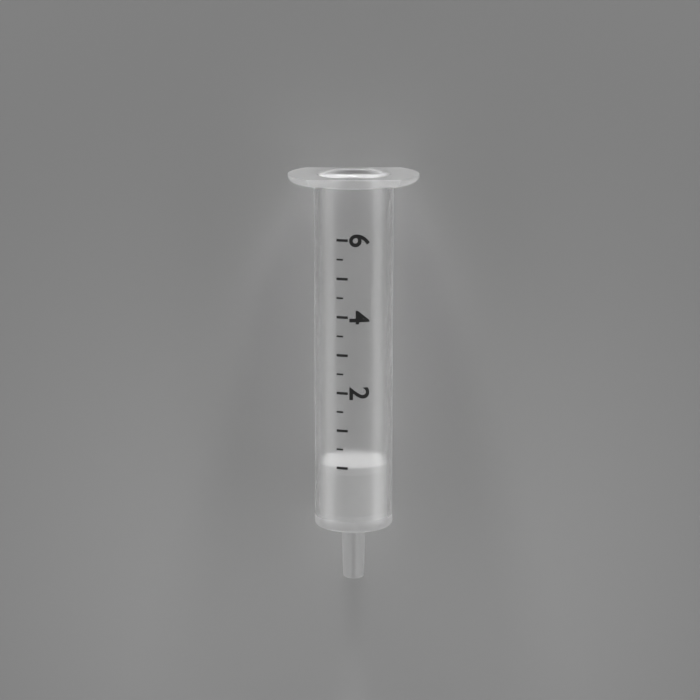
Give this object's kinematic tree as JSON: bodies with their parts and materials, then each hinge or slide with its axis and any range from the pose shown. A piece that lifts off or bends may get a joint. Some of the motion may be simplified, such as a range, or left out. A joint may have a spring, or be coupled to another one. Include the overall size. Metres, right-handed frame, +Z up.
{
  "type": "solid-phase extraction cartridge",
  "caption": "Flanged plastic barrel with a luer tip and a bed of sorbent packed between porous discs, for drawing a liquid sample through the bed.",
  "frame": {"origin": "middle of the box that the lying cartridge fills, on the surface that it lies on", "axes": "+Z up; the cartridge's axis lies in the YZ plane with the flange towards +Y, raised 1.20 degrees at the flange, because it rests on a flat of the flange and on the shoulder of the barrel"},
  "size_m": [0.0248, 0.0792, 0.0178],
  "materials": {
    "barrel_plastic": "natural translucent polypropylene, smooth",
    "frit_plastic": "sintered white polyethylene, fine porous grain",
    "sorbent": "packed fine white powder"
  },
  "bodies": {
    "root": {"barrel": "barrel_plastic", "lower_frit": "frit_plastic", "sorbent_bed": "sorbent", "upper_frit": "frit_plastic"}
  },
  "joints": []
}
